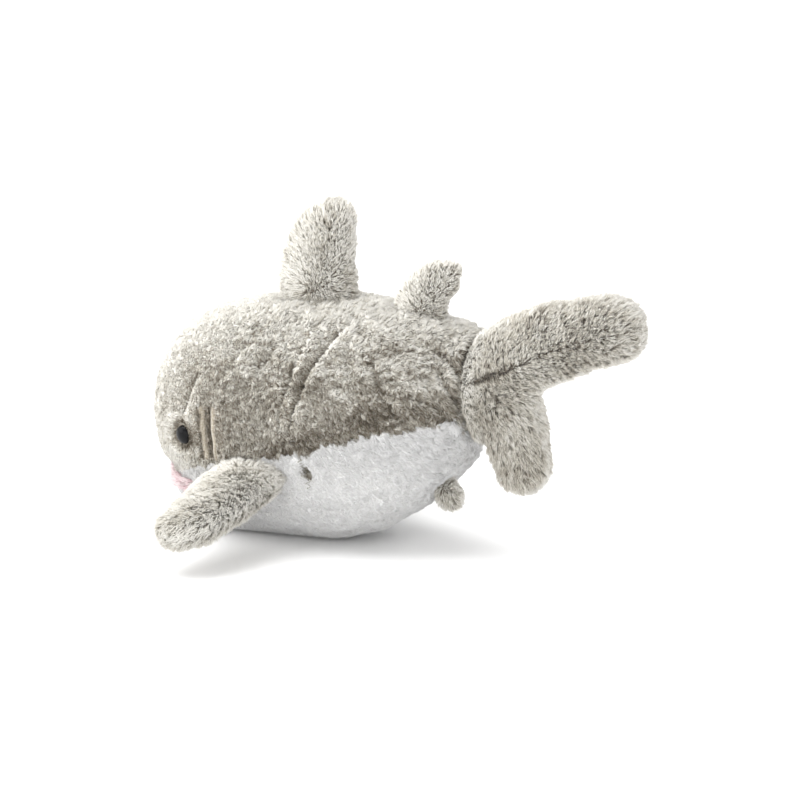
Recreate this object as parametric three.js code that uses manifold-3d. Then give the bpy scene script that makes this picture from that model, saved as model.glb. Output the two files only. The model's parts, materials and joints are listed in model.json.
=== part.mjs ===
// Plush shark: a stuffed soft toy sewn from two grey side panels, a white belly panel, a pink mouth
// lining and six stuffed fins, with safety eyes and sewn gill slits.
// Millimetres, +Z up, snout towards -Y, the shark's own left side towards +X, standing on z = 0.
import * as THREE from 'three';
import { mergeVertices } from 'three/addons/utils/BufferGeometryUtils.js';
import Module from 'manifold-3d';

const wasm = await Module();
wasm.setup();

// ---- Driving dimensions. Lengths along the shark are measured from a point 5 mm ahead of the snout.
const SNOUT_Y = 5; // front of the fabric
const TAIL_TIP_Y = 460; // rear of the fabric
const MIDDLE_Y = (SNOUT_Y + TAIL_TIP_Y) / 2; // this point becomes y = 0 of the part
const FABRIC = 3; // thickness of the backing cloth and the roots of its pile
const GAP = 0.3; // clearance between neighbouring pieces
const AROUND = 24; // points in one ring of the body
const FIN_AROUND = 12; // points in one ring of a fin or a tail lobe
const SECTION_POWER = 2.15; // 2 is an ellipse, more is squarer
const JAW_POWER = 2.7; // the lower half is squarer at the jaw
const JAW_END_Y = 140; // and has eased to the common section by here
const REACH = 400; // larger than any half size of the toy

// Body stations: distance from the front, axis height, height above it, depth below it, half width.
const BODY_STATIONS = [
  [5, 104, 88, 116, 87],
  [60, 105, 93, 118, 87],
  [120, 106, 101, 113, 87],
  [180, 109, 103, 110, 88],
  [230, 118, 91, 101, 80],
  [270, 131, 72, 80, 65],
  [290, 140, 57, 67, 52],
  [300, 145, 51, 53, 45],
  [308, 148, 48, 45, 41],
];
const HEAD_LENGTH = 104; // the snout rounds up to the full section over this length
const HEAD_POWER = 3.2; // 2 is an elliptical snout, more is blunter
const CHIN_POWER = 2.4; // the same for the underside of the head
const BODY_END_Y = 306; // the tail root seam, and the axis that the tail bends about

// Side seam between the grey sides and the white belly: distance from the front and height.
const SIDE_SEAM = [
  [0, 40], [28, 46], [60, 58], [103, 73], [140, 82], [172, 92], [222, 110], [272, 120], [320, 128],
];
const MOUTH = { half: 54, depth: 54, top: 50, bottom: 39 }; // pink band under the snout
const BACK_SEAM = GAP / 2;

// ---- Small geometry helpers.
const vec = (x, y, z) => new THREE.Vector3(x, y, z);
const signedPower = (value, power) => Math.sign(value) * Math.abs(value) ** power;
const lerp = THREE.MathUtils.lerp;

// Smooth value of one column of a table, at a place in its first column.
function smoothAt(table, place, column) {
  const last = table.length - 1;
  const at = THREE.MathUtils.clamp(place, table[0][0], table[last][0]);
  let i = 0;
  while (i < last - 1 && at > table[i + 1][0]) i++;
  const slope = (k) => {
    const before = table[Math.max(k - 1, 0)];
    const after = table[Math.min(k + 1, last)];
    return (after[column] - before[column]) / (after[0] - before[0]);
  };
  const width = table[i + 1][0] - table[i][0];
  const t = (at - table[i][0]) / width;
  const rise = table[i + 1][column] - table[i][column];
  const startBend = slope(i) * width - rise;
  const endBend = rise - slope(i + 1) * width;
  return table[i][column] + t * rise + t * (1 - t) * ((1 - t) * startBend + t * endBend);
}

// A closed solid through rings of points, with a fan over each end.
function loft(rings) {
  const around = rings[0].length;
  const points = rings.flat();
  const index = [];
  for (let i = 0; i + 1 < rings.length; i++) {
    for (let j = 0; j < around; j++) {
      const here = i * around + j;
      const beside = i * around + ((j + 1) % around);
      index.push(here, beside, beside + around, here, beside + around, here + around);
    }
  }
  for (const [first, flip] of [[0, true], [(rings.length - 1) * around, false]]) {
    const centre = points.length;
    const ring = points.slice(first, first + around);
    points.push(ring.reduce((sum, p) => sum.add(p), vec(0, 0, 0)).divideScalar(around));
    for (let j = 0; j < around; j++) {
      const a = first + j;
      const b = first + ((j + 1) % around);
      index.push(centre, flip ? b : a, flip ? a : b);
    }
  }
  return solidFrom(points, index);
}

function solidFrom(points, index) {
  let volume = 0;
  for (let k = 0; k < index.length; k += 3) {
    const [a, b, c] = [points[index[k]], points[index[k + 1]], points[index[k + 2]]];
    volume += a.dot(b.clone().cross(c));
  }
  if (volume < 0) {
    for (let k = 0; k < index.length; k += 3) [index[k], index[k + 1]] = [index[k + 1], index[k]];
  }
  const vertProperties = new Float32Array(points.flatMap((p) => [p.x, p.y, p.z]));
  return new wasm.Manifold(new wasm.Mesh({ numProp: 3, vertProperties, triVerts: new Uint32Array(index) }));
}

function solid(geometry) {
  const bare = geometry.clone();
  bare.deleteAttribute('normal');
  bare.deleteAttribute('uv');
  const merged = mergeVertices(bare, 1e-4);
  return new wasm.Manifold(
    new wasm.Mesh({
      numProp: 3,
      vertProperties: new Float32Array(merged.attributes.position.array),
      triVerts: new Uint32Array(merged.index.array),
    }),
  );
}

function boxSolid(low, high) {
  const size = vec(...high).sub(vec(...low));
  const middle = vec(...high).add(vec(...low)).divideScalar(2);
  return solid(new THREE.BoxGeometry(size.x, size.y, size.z).translate(middle.x, middle.y, middle.z));
}

// An ellipsoid whose upright half size may differ from its level half size.
function spheroid(centre, level, upright) {
  const ball = new THREE.SphereGeometry(1, AROUND, AROUND / 2).rotateX(Math.PI / 2);
  return solid(ball.scale(level, level, upright).translate(centre.x, centre.y, centre.z));
}

// Everything below a curve of the side view, as one slab across the whole width.
function slabBelow(curve, lift) {
  const shape = new THREE.Shape();
  shape.moveTo(-REACH, -REACH);
  shape.lineTo(REACH * 2, -REACH);
  const steps = 40;
  const end = curve[curve.length - 1][0];
  shape.lineTo(REACH * 2, smoothAt(curve, end, 1) + lift);
  for (let i = steps; i >= 0; i--) {
    const y = (end * i) / steps;
    shape.lineTo(y, smoothAt(curve, y, 1) + lift);
  }
  shape.lineTo(-REACH, curve[0][1] + lift);
  const slab = new THREE.ExtrudeGeometry(shape, { depth: 2 * REACH, bevelEnabled: false });
  // the shape's x runs along the shark and its y runs up
  slab.rotateX(Math.PI / 2).rotateZ(Math.PI / 2).translate(-REACH, 0, 0);
  return solid(slab);
}

// ---- The body.
function lowerPowerAt(y) {
  return lerp(JAW_POWER, SECTION_POWER, THREE.MathUtils.smoothstep(y, SNOUT_Y, JAW_END_Y));
}

// How full the head is at a share of its length. `low` is 0 at the axis height and 1 at the underside.
function fullness(share, low) {
  const power = lerp(HEAD_POWER, CHIN_POWER, Math.min(1, 2 * low));
  return (1 - (1 - share) ** power) ** (1 / power);
}

function bodyRing(y, share, inset) {
  const [axis, up, down, side] = [1, 2, 3, 4].map((column) => smoothAt(BODY_STATIONS, y, column));
  const ring = [];
  for (let j = 0; j < AROUND; j++) {
    const angle = (2 * Math.PI * j) / AROUND;
    const power = angle > Math.PI ? lowerPowerAt(y) : SECTION_POWER;
    const across = signedPower(Math.cos(angle), 2 / power);
    const high = signedPower(Math.sin(angle), 2 / power);
    const reach = high > 0 ? up - inset : down - inset;
    const round = fullness(share, Math.max(0, -Math.sin(angle)));
    ring.push(vec(round * (side - inset) * across, y, axis + round * reach * high));
  }
  return ring;
}

function bodySolid(inset) {
  const rings = [];
  const headSteps = 7;
  const trunkSteps = 11;
  const front = SNOUT_Y + inset;
  const length = HEAD_LENGTH - inset;
  for (let i = 0; i < headSteps; i++) {
    const angle = (Math.PI / 2) * ((i + 0.25) / headSteps);
    const share = 1 - Math.cos(angle);
    rings.push(bodyRing(front + length * share, share, inset));
  }
  for (let i = 0; i <= trunkSteps; i++) {
    rings.push(bodyRing(lerp(front + length, BODY_END_Y, i / trunkSteps), 1, inset));
  }
  const floor = boxSolid([-REACH, -REACH, -REACH], [REACH, 2 * REACH, inset]);
  return loft(rings).subtract(floor);
}

// ---- Fins. A fin is a loft along its span, round at the root about its bending axis, which
// runs along its chord and stands just clear of the body. `out` points straight off the body there.
const ROOT_CLEARANCE = 1.6;
const FINS = {
  dorsal_fin: {
    at: [147, 0], out: [0, 0, 1], chord: [0, 1, 0.09], span: [0, -0.09, 1], length: 66, rootChord: 73,
    tipChord: 44, sweep: 24, rootThick: 26, tipThick: 18, sides: ['right', 'left'],
  },
  second_dorsal_fin: {
    at: [250, 0], out: [0, 0, 1], chord: [0, 1, -0.17], span: [0, 0.17, 1], length: 38, rootChord: 44,
    tipChord: 28, sweep: 25, rootThick: 19, tipThick: 15, sides: ['right', 'left'],
  },
  left_pectoral_fin: {
    at: [126, 64], out: [1, 0, -0.3], chord: [0.03, 1, 0.16], span: [1, 0.05, -0.22], length: 96,
    rootChord: 72, tipChord: 48, sweep: -12, rootThick: 33, tipThick: 27, sides: ['bottom', 'top'],
  },
  anal_fin: {
    at: [273, 0], out: [0, 0.6, -0.8], chord: [0, 0.8, 0.6], span: [0, 0.6, -0.8], length: 9,
    rootChord: 21, tipChord: 18, sweep: 1, rootThick: 12, tipThick: 11, sides: ['left', 'right'],
  },
};

function finFrame(fin) {
  const span = vec(...fin.span).normalize();
  const chord = vec(...fin.chord).addScaledVector(span, -span.dot(vec(...fin.chord))).normalize();
  const standOff = fin.rootThick / 2 + ROOT_CLEARANCE;
  const [y, z] = fin.at;
  const [axis, up, down] = [1, 2, 3].map((column) => smoothAt(BODY_STATIONS, y, column));
  const onMiddle = vec(0, y, fin.out[2] > 0 ? axis + up : axis - down);
  const root = fin.out[0] === 0 ? onMiddle : vec(halfWidthAt(y, z), y, z);
  root.addScaledVector(vec(...fin.out).normalize(), standOff);
  return { root, span, chord, normal: span.clone().cross(chord) };
}

// The right fin is the left one's mirror image.
function mirrorFrame({ root, span, chord }) {
  const flip = (v) => vec(-v.x, v.y, v.z);
  return { root: flip(root), span: flip(span), chord: flip(chord), normal: flip(span).cross(flip(chord)) };
}

function finSolid(fin, frame, inset) {
  const { root, span, chord, normal } = frame;
  const rootHalf = fin.rootThick / 2 - inset;
  const end = fin.length - inset;
  const tipRound = Math.min(fin.tipChord * 0.55, end * 0.6); // length of the rounded end
  const rings = [];
  const addRing = (along, thick, wide) => {
    const t = along / fin.length;
    const centre = root.clone().addScaledVector(span, along);
    centre.addScaledVector(chord, fin.sweep * t * Math.abs(t));
    const half = wide / 2;
    const ring = [];
    for (let j = 0; j < FIN_AROUND; j++) {
      const angle = (2 * Math.PI * j) / FIN_AROUND;
      const point = centre.clone().addScaledVector(chord, half * Math.cos(angle));
      ring.push(point.addScaledVector(normal, (thick / 2) * signedPower(Math.sin(angle), 0.85)));
    }
    rings.push(ring);
  };
  for (const turn of [0.15, 0.5]) {
    const angle = (Math.PI / 2) * turn;
    addRing(-rootHalf * Math.cos(angle), 2 * rootHalf * Math.sin(angle), fin.rootChord - 2 * inset);
  }
  const straightEnd = end - tipRound;
  const size = (along) => [
    lerp(fin.rootThick, fin.tipThick, along / fin.length) - 2 * inset,
    lerp(fin.rootChord, fin.tipChord, along / fin.length) - 2 * inset,
  ];
  const straightSteps = 3;
  for (let i = 0; i < straightSteps; i++) {
    const along = (straightEnd * i) / straightSteps;
    addRing(along, ...size(along));
  }
  const roundSteps = 4;
  for (let i = 0; i < roundSteps; i++) {
    const angle = (Math.PI / 2) * ((i + (i === roundSteps - 1 ? 0.5 : 0)) / roundSteps);
    const along = straightEnd + tipRound * Math.sin(angle);
    const [thick, wide] = size(along);
    addRing(along, thick * Math.cos(angle) ** 0.7, wide * Math.cos(angle) ** 0.8);
  }
  return loft(rings);
}

// ---- The tail: a root that turns inside the body's end, and an upper and a lower lobe.
const TAIL_ROOT = { centre: vec(0, BODY_END_Y, 149), level: 36, upright: 45 };
// Lobe stations: y, z, half height across the lobe, half thickness.
const UPPER_LOBE = [
  [312, 157, 33, 27], [340, 175, 31, 25], [371, 191, 30, 23], [400, 202, 28, 21], [430, 212, 26, 19],
];
const LOWER_LOBE = [
  [318, 150, 35, 26], [333, 127, 31, 22], [344, 104, 25, 19], [349, 88, 22, 17],
];
const UPPER_TIP = 30; // length of the rounded end of each lobe
const LOWER_TIP = 22;
const TAIL_SWING_ROOM = 1.55; // half width allowed per millimetre behind the bending axis

function lobeSolid(stations, tipLength, inset) {
  const rings = [];
  const count = stations.length;
  const addRing = (y, z, along, half, thick) => {
    const across = vec(0, -along.z, along.y);
    const ring = [];
    for (let j = 0; j < FIN_AROUND; j++) {
      const angle = (2 * Math.PI * j) / FIN_AROUND;
      const point = vec(0, y, z).addScaledVector(across, half * Math.cos(angle));
      ring.push(point.setX(thick * signedPower(Math.sin(angle), 0.9)));
    }
    rings.push(ring);
  };
  const spine = new THREE.CatmullRomCurve3(stations.map(([y, z]) => vec(0, y, z)));
  const steps = 5;
  const ends = stations[count - 1];
  for (let i = 0; i <= steps; i++) {
    const t = i / steps;
    const point = spine.getPoint(t);
    const place = t * (count - 1);
    const k = Math.min(Math.floor(place), count - 2);
    const [half, thick] = [2, 3].map((c) => lerp(stations[k][c], stations[k + 1][c], place - k));
    addRing(point.y, point.z, spine.getTangent(t), half - inset, thick - inset);
  }
  const heading = spine.getTangent(1);
  const tipSteps = 4;
  for (let i = 1; i <= tipSteps; i++) {
    const angle = (Math.PI / 2) * ((i - (i === tipSteps ? 0.4 : 0)) / tipSteps);
    const reach = (tipLength - inset) * Math.sin(angle);
    const shrink = Math.cos(angle) ** 0.85;
    const point = vec(0, ends[0], ends[1]).addScaledVector(heading, reach);
    addRing(point.y, point.z, heading, (ends[2] - inset) * shrink, (ends[3] - inset) * shrink);
  }
  return loft(rings);
}

function tailSolid(inset) {
  const root = spheroid(TAIL_ROOT.centre, TAIL_ROOT.level - inset, TAIL_ROOT.upright - inset);
  const upper = lobeSolid(UPPER_LOBE, UPPER_TIP, inset);
  const lower = lobeSolid(LOWER_LOBE, LOWER_TIP, inset);
  const wedge = new THREE.Shape();
  wedge.moveTo(0, BODY_END_Y + 2 * inset);
  wedge.lineTo(REACH * TAIL_SWING_ROOM, BODY_END_Y + REACH);
  wedge.lineTo(-REACH * TAIL_SWING_ROOM, BODY_END_Y + REACH);
  const room = solid(new THREE.ExtrudeGeometry(wedge, { depth: REACH, bevelEnabled: false }));
  return root.add(upper.add(lower).intersect(room));
}

// ---- Eyes and gills.
const EYE = { y: 60, z: 92, radius: 8.5, sink: 4.6, shank: 2.4, washer: 8.6, out: [0.96, -0.27, -0.05] };
// Gill slits: where each one starts and ends, as distance from the front and height.
const GILLS = [
  { name: 'front_gill_insert', top: [79, 120], bottom: [84, 74] },
  { name: 'rear_gill_insert', top: [90, 121], bottom: [94, 75] },
];
const GILL_WIDTH = 4;
const GILL_RECESS = 1.2; // how far the insert lies below the outer face

// A solid of revolution standing on a point and pointing along a direction.
function turned(profile, point, direction) {
  const lathe = new THREE.LatheGeometry(profile.map(([r, h]) => new THREE.Vector2(r, h)), 16);
  const turn = new THREE.Quaternion().setFromUnitVectors(vec(0, 1, 0), direction);
  return solid(lathe.applyQuaternion(turn).translate(point.x, point.y, point.z));
}

function rod(radius, low, high, point, direction) {
  return turned([[0, low], [radius, low], [radius, high], [0, high]], point, direction);
}

// Half width of the body at a distance from the front and a height.
function halfWidthAt(y, z) {
  const [axis, up, down, side] = [1, 2, 3, 4].map((column) => smoothAt(BODY_STATIONS, y, column));
  const power = z > axis ? SECTION_POWER : lowerPowerAt(y);
  const low = Math.max(0, (axis - z) / down) ** (power / 2);
  const round = fullness(Math.min((y - SNOUT_Y) / HEAD_LENGTH, 1), low);
  const high = Math.abs(z - axis) / (round * (z > axis ? up : down));
  return round * side * (1 - high ** power) ** (1 / power);
}

function eyeSolids(mirror) {
  const place = vec(mirror * halfWidthAt(EYE.y, EYE.z), EYE.y, EYE.z);
  const out = vec(mirror * EYE.out[0], EYE.out[1], EYE.out[2]).normalize();
  const seat = place.clone().addScaledVector(out, -EYE.sink);
  const dome = [[0, -11], [EYE.shank, -11], [EYE.shank, 0], [EYE.radius, 0]];
  const domeSteps = 4;
  for (let i = 0; i <= domeSteps; i++) {
    const angle = (Math.PI / 2) * (i / domeSteps);
    dome.push([EYE.radius * Math.cos(angle), 1 + 4.8 * Math.sin(angle)]);
  }
  dome[dome.length - 1][0] = 0;
  const hole = EYE.shank + GAP;
  const washer = [[hole, -7.5], [EYE.washer, -7.5], [EYE.washer, -5.5], [hole, -5.5], [hole, -7.5]];
  return {
    eye: turned(dome, seat, out),
    washer: turned(washer, seat, out),
    panelHole: rod(EYE.radius + GAP, -40, 40, seat, out).intersect(halfSpace(mirror)),
    pocket: rod(EYE.washer + GAP, -12.5, 40, seat, out),
  };
}

function halfSpace(mirror) {
  return mirror > 0
    ? boxSolid([BACK_SEAM, -REACH, -REACH], [REACH, 2 * REACH, REACH])
    : boxSolid([-REACH, -REACH, -REACH], [-BACK_SEAM, 2 * REACH, REACH]);
}

// A slot of a given width through one flank, leaning with its gill.
function gillSlot(gill, mirror, width, trim) {
  const [topY, topZ] = gill.top;
  const [lowY, lowZ] = gill.bottom;
  const length = Math.hypot(topY - lowY, topZ - lowZ) - 2 * trim;
  const slot = new THREE.BoxGeometry(REACH / 4, width, length);
  slot.rotateX(Math.atan2(lowY - topY, topZ - lowZ));
  const out = mirror * (REACH / 8 + 40);
  return solid(slot.translate(out, (topY + lowY) / 2, (topZ + lowZ) / 2));
}

// ---- Closing stitches on the belly and the blank sewn-in label.
const CLOSING = { y: 178, z: [88, 62], stitches: 6, thread: 0.7, reach: 3, lean: 10 };
const LABEL = { y: 288, z: 120, width: 16, length: 24, thick: 0.8 };

function closingThread() {
  const points = [];
  for (let i = 0; i <= 2 * CLOSING.stitches; i++) {
    const t = i / (2 * CLOSING.stitches);
    const z = lerp(...CLOSING.z, t);
    const y = CLOSING.y + CLOSING.lean * t + (i % 2 ? CLOSING.reach : -CLOSING.reach);
    points.push(vec(halfWidthAt(y, z) + CLOSING.thread + 2 * GAP, y, z));
  }
  const path = new THREE.CatmullRomCurve3(points);
  const section = new THREE.Shape().absarc(0, 0, CLOSING.thread, 0, 2 * Math.PI);
  return new THREE.ExtrudeGeometry(section, {
    extrudePath: path, steps: 36, curveSegments: 3, bevelEnabled: false,
  });
}

// ---- Materials.
const material = (color, roughness, metalness = 0) =>
  new THREE.MeshStandardMaterial({ color, roughness, metalness });
const GREY = material('#a8a096', 0.95);
const WHITE = material('#e4e3e0', 0.95);
const PINK = material('#dccccd', 0.95);
const FILL = material('#f3f2ee', 1);
const EYE_BLACK = material('#0b0b0c', 0.12);
const WASHER = material('#d8d8d4', 0.5);
const THREAD = material('#8f8972', 0.8);
const LABEL_CLOTH = material('#f2f0ea', 0.85);

// ---- Assembly.
const shark = new THREE.Group();
shark.position.y = -MIDDLE_Y;

function add(name, shape, look) {
  let geometry = shape;
  if (shape instanceof wasm.Manifold) {
    const mesh = shape.getMesh();
    geometry = new THREE.BufferGeometry();
    geometry.setAttribute('position', new THREE.BufferAttribute(new Float32Array(mesh.vertProperties), 3));
    geometry.setIndex(new THREE.BufferAttribute(new Uint32Array(mesh.triVerts), 1));
  }
  const part = new THREE.Mesh(geometry, look);
  part.name = name;
  shark.add(part);
}

const eyes = { left: eyeSolids(1), right: eyeSolids(-1) };
const tailSocket = spheroid(TAIL_ROOT.centre, TAIL_ROOT.level + 2 * GAP, TAIL_ROOT.upright + 2 * GAP);
const cloth = bodySolid(0).subtract(bodySolid(FABRIC)).subtract(tailSocket);
const belowSeam = slabBelow(SIDE_SEAM, -GAP / 2);
const aboveSeam = slabBelow(SIDE_SEAM, GAP / 2);
const mouthBox = (spread) => boxSolid(
  [-MOUTH.half - spread, SNOUT_Y - 5, MOUTH.bottom - spread],
  [MOUTH.half + spread, MOUTH.depth + spread, MOUTH.top + spread],
);

add('belly_panel', cloth.intersect(belowSeam).subtract(mouthBox(GAP)), WHITE);
const lining = bodySolid(1).subtract(bodySolid(FABRIC)).intersect(mouthBox(0));
add('mouth_lining', lining, PINK);

for (const [side, mirror] of [['left', 1], ['right', -1]]) {
  const { eye, washer, panelHole } = eyes[side];
  let panel = cloth.subtract(aboveSeam).subtract(mouthBox(GAP)).intersect(halfSpace(mirror));
  panel = panel.subtract(panelHole);
  for (const gill of GILLS) {
    panel = panel.subtract(gillSlot(gill, mirror, GILL_WIDTH, 0));
    const strip = bodySolid(GILL_RECESS).subtract(bodySolid(FABRIC));
    add(`${side}_${gill.name}`, strip.intersect(gillSlot(gill, mirror, GILL_WIDTH - 2 * GAP, GAP)), PINK);
  }
  add(`${side}_side_panel`, panel, GREY);
  add(`${side}_eye`, eye, EYE_BLACK);
  add(`${side}_eye_washer`, washer, WASHER);
}

const fill = bodySolid(FABRIC + GAP).subtract(tailSocket);
add('body_stuffing', fill.subtract(eyes.left.pocket).subtract(eyes.right.pocket), FILL);

const hinges = { tail: { at: TAIL_ROOT.centre.clone(), axis: vec(0, 0, 1) } };
function addFin(name, fin, frame) {
  const skin = finSolid(fin, frame, 0).subtract(finSolid(fin, frame, FABRIC));
  for (const [k, side] of fin.sides.entries()) {
    const way = frame.normal.clone().multiplyScalar(k === 0 ? -1 : 1);
    add(`${name}_${side}_panel`, skin.intersect(rod(REACH, GAP / 2, REACH, frame.root, way)), GREY);
  }
  add(`${name}_stuffing`, finSolid(fin, frame, FABRIC + GAP), FILL);
  hinges[name] = { at: frame.root, axis: frame.chord };
}

for (const [name, fin] of Object.entries(FINS)) addFin(name, fin, finFrame(fin));
const leftPectoral = FINS.left_pectoral_fin;
// mirroring turns the normal over, so the panels keep their names by swapping sides
const rightPectoral = { ...leftPectoral, sides: leftPectoral.sides.toReversed() };
addFin('right_pectoral_fin', rightPectoral, mirrorFrame(finFrame(leftPectoral)));

const tailSkin = tailSolid(0).subtract(tailSolid(FABRIC));
const behindSeam = boxSolid([-REACH, BODY_END_Y - 8, -REACH], [REACH, 2 * REACH, REACH]);
for (const [side, mirror] of [['left', 1], ['right', -1]]) {
  add(`tail_${side}_panel`, tailSkin.intersect(halfSpace(mirror)).intersect(behindSeam), GREY);
}
add('tail_stuffing', tailSolid(FABRIC + GAP), FILL);

add('closing_stitches', closingThread(), THREAD);
const label = new THREE.BoxGeometry(LABEL.thick, LABEL.width, LABEL.length);
label.translate(-halfWidthAt(LABEL.y - LABEL.width / 2, LABEL.z) - 2 * LABEL.thick, LABEL.y, LABEL.z);
add('blank_label', label, LABEL_CLOTH);

shark.userData.hinges = hinges;

export default shark;
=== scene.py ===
"""Looks of the plush shark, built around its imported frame: sewn skins with seams and creases, a pile of
hairs, glossy eyes, stuffing, label and stitches. Metres, the row frame, snout towards -Y."""

import json
import math

import bpy
import numpy as np
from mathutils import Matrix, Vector
from mathutils.bvhtree import BVHTree
from mathutils.kdtree import KDTree


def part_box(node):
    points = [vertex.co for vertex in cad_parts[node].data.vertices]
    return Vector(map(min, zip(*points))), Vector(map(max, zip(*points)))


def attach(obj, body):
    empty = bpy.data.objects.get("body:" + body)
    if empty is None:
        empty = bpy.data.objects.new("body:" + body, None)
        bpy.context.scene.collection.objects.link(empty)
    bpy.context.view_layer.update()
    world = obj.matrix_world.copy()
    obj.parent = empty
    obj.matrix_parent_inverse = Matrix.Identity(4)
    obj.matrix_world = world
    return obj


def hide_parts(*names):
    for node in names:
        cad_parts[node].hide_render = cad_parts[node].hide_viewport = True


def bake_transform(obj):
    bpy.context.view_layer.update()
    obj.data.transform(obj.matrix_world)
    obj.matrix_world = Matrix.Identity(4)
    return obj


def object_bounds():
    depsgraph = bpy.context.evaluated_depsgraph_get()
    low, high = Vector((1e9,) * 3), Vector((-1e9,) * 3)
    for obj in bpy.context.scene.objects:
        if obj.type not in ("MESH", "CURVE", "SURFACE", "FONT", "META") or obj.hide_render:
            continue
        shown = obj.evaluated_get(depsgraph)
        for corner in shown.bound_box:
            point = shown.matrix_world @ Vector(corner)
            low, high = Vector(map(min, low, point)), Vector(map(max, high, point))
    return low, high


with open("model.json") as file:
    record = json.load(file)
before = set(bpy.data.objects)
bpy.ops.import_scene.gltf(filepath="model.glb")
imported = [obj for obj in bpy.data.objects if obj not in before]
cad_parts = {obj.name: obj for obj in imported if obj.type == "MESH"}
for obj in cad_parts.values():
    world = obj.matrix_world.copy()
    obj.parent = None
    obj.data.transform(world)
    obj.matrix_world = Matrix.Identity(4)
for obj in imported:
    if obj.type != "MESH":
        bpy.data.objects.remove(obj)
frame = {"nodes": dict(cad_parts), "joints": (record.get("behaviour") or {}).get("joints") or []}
CAD_LOW, CAD_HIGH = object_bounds()

MM = 0.001
FRONT = CAD_LOW.y - 5 * MM  # places along the shark are given from 5 mm ahead of its snout
VOXEL = 3.2 * MM
FIN_VOXEL = 2.8 * MM
SKIN_INSET = 2.6 * MM  # the cloth lies this far inside the outline, and its pile fills the rest
CLOTH = 1.6 * MM  # thickness of the backing cloth
FLOOR_CLEARANCE = 0.4 * MM
FILLING_VOXEL = 5 * MM
HAIR_DEPTH = 0.6 * MM  # a hair starts this far below the face of its cloth
STRAIGHT_HAIR_TRIANGLES = 4
BENT_HAIR_TRIANGLES = 10
FACES_PER_PIECE = 180000  # a pile with more triangles is shared between pieces
SIDES = {"left": 1, "right": -1}
GILLS = ("front", "rear")
HINGES = {j["child"]: j for j in frame["joints"]}


def along(y, z, x=0.0):
    """A point from its distance behind the front, its height and its distance to the side, in millimetres."""
    return np.array([x * MM, FRONT + y * MM, z * MM])


def unit(v):
    return v / np.maximum(np.linalg.norm(v, axis=-1, keepdims=True), 1e-12)


def side_view(points):
    """Distance behind the front and height of each point, in millimetres."""
    return (points[:, 1] - FRONT) / MM, points[:, 2] / MM


def smoothstep(low, high, value):
    """0 at low, 1 at high; low may be the larger of the two."""
    t = np.clip((value - low) / (high - low), 0, 1)
    return t * t * (3 - 2 * t)


def bump(value, centre, width):
    return np.exp(-(((value - centre) / width) ** 2))


def waves(points, size, seed, count=22):
    """Smooth noise of unit spread, with bumps of about this size."""
    rng = np.random.default_rng(seed)
    way = unit(rng.normal(size=(count, 3))) * (2 * math.pi / size) * rng.uniform(0.6, 1.4, (count, 1))
    phase = rng.uniform(0, 2 * math.pi, count)
    return np.cos(points @ way.T + phase).sum(1) * math.sqrt(2 / count)


# ---- Meshes as arrays.
def node_arrays(names, shift=(0, 0, 0)):
    """Vertices and triangles of several CAD nodes together."""
    vertices, triangles, count = [], [], 0
    for name in names:
        mesh = frame["nodes"][name].data
        mesh.calc_loop_triangles()
        points = np.empty(len(mesh.vertices) * 3, np.float32)
        mesh.vertices.foreach_get("co", points)
        corners = np.empty(len(mesh.loop_triangles) * 3, np.int32)
        mesh.loop_triangles.foreach_get("vertices", corners)
        vertices.append(points.reshape(-1, 3) + np.array(shift))
        triangles.append(corners.reshape(-1, 3) + count)
        count += len(mesh.vertices)
    return np.concatenate(vertices), np.concatenate(triangles)


def mesh_from(name, vertices, faces, smooth=True):
    mesh = bpy.data.meshes.new(name)
    mesh.vertices.add(len(vertices))
    mesh.vertices.foreach_set("co", np.asarray(vertices, np.float32).ravel())
    corners = faces.shape[1]
    mesh.loops.add(faces.size)
    mesh.loops.foreach_set("vertex_index", np.asarray(faces, np.int32).ravel())
    mesh.polygons.add(len(faces))
    mesh.polygons.foreach_set("loop_start", np.arange(0, faces.size, corners, dtype=np.int32))
    mesh.update(calc_edges=True)
    mesh.polygons.foreach_set("use_smooth", np.full(len(faces), smooth))
    return mesh


def object_from(name, mesh):
    made = bpy.data.objects.new(name, mesh)
    bpy.context.scene.collection.objects.link(made)
    return made


def with_modifiers(name, mesh, *modifiers):
    """The mesh after these modifiers, each one given as its type and its settings."""
    block = object_from(name, mesh)
    for kind, settings in modifiers:
        modifier = block.modifiers.new(kind.lower(), kind)
        for key, value in settings.items():
            setattr(modifier, key, value)
    graph = bpy.context.evaluated_depsgraph_get()
    made = bpy.data.meshes.new_from_object(block.evaluated_get(graph))
    bpy.data.objects.remove(block)
    return made


def quads_of(mesh):
    points = np.empty(len(mesh.vertices) * 3, np.float32)
    mesh.vertices.foreach_get("co", points)
    corners = np.empty(len(mesh.loops), np.int32)
    mesh.loops.foreach_get("vertex_index", corners)
    return points.reshape(-1, 3).astype(float), corners.reshape(-1, 4)


def compact(vertices, faces):
    used, index = np.unique(faces, return_inverse=True)
    return vertices[used], index.reshape(faces.shape)


def largest_part(vertices, faces):
    label = np.arange(len(vertices))
    while True:
        lowest = label[faces].min(1)
        fresh = label.copy()
        np.minimum.at(fresh, faces.ravel(), np.repeat(lowest, faces.shape[1]))
        fresh = fresh[fresh]
        if (fresh == label).all():
            break
        label = fresh
    names, sizes = np.unique(label[faces[:, 0]], return_counts=True)
    return compact(vertices, faces[label[faces[:, 0]] == names[sizes.argmax()]])


def edges_of(faces):
    pairs = np.concatenate([faces[:, [k, (k + 1) % faces.shape[1]]] for k in range(faces.shape[1])])
    return np.unique(np.sort(pairs, 1), axis=0)


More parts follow.
